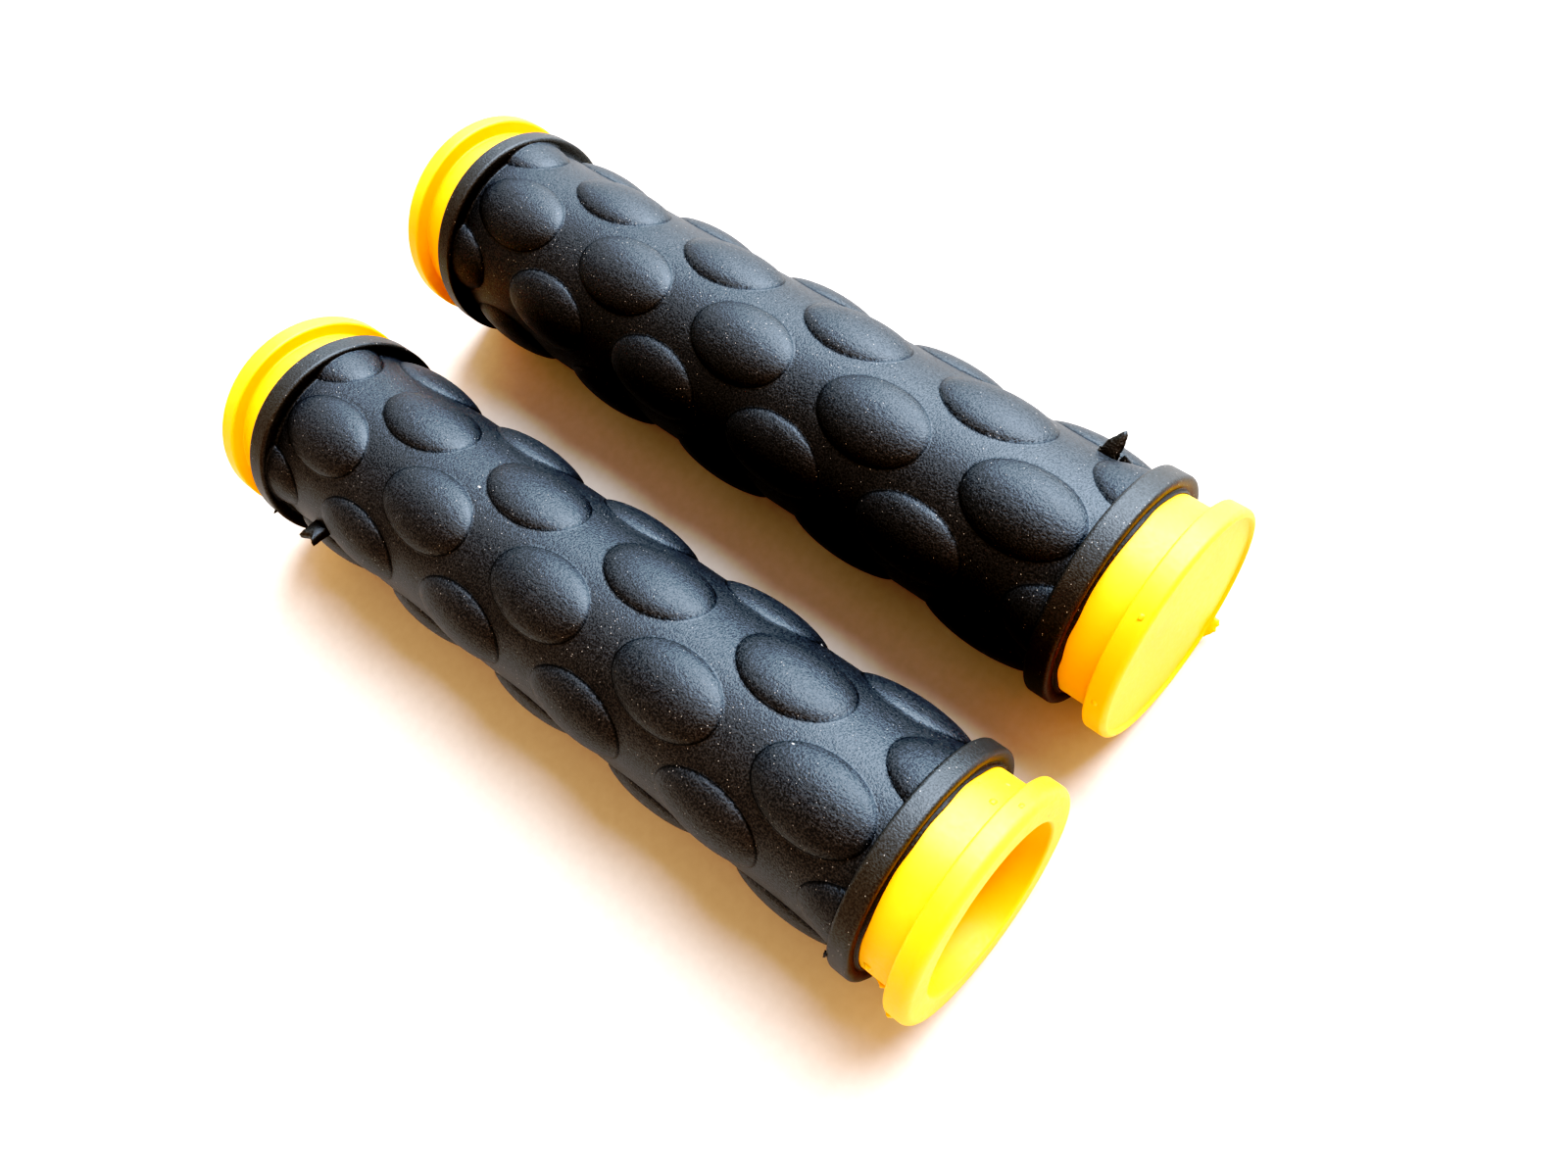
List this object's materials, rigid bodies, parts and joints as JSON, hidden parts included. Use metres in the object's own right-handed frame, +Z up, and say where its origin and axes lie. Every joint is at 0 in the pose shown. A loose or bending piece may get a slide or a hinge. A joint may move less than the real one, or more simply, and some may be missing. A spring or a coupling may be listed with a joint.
{
  "type": "bicycle handlebar grips",
  "caption": "Slip-on handlebar grips: blind core tubes with a flange at both ends, under a rubber sleeve with rims and staggered oval bumps.",
  "frame": {"origin": "on the ground, under the middle of the two grips lying side by side", "axes": "+X along the first grip towards its open end, +Y from the first grip to the second, +Z up"},
  "size_m": [0.1315, 0.075, 0.032],
  "materials": {
    "core": "satin",
    "sleeve": "matte"
  },
  "bodies": {
    "grip_a": {"core_a": "core", "sleeve_a": "sleeve"},
    "grip_b": {"core_b": "core", "sleeve_b": "sleeve"}
  },
  "joints": [
    {"name": "grip_b_apart", "type": "slide", "parent": "grip_a", "child": "grip_b", "axis": [0, 1, 0], "range_m": [0, 0.1]}
  ]
}
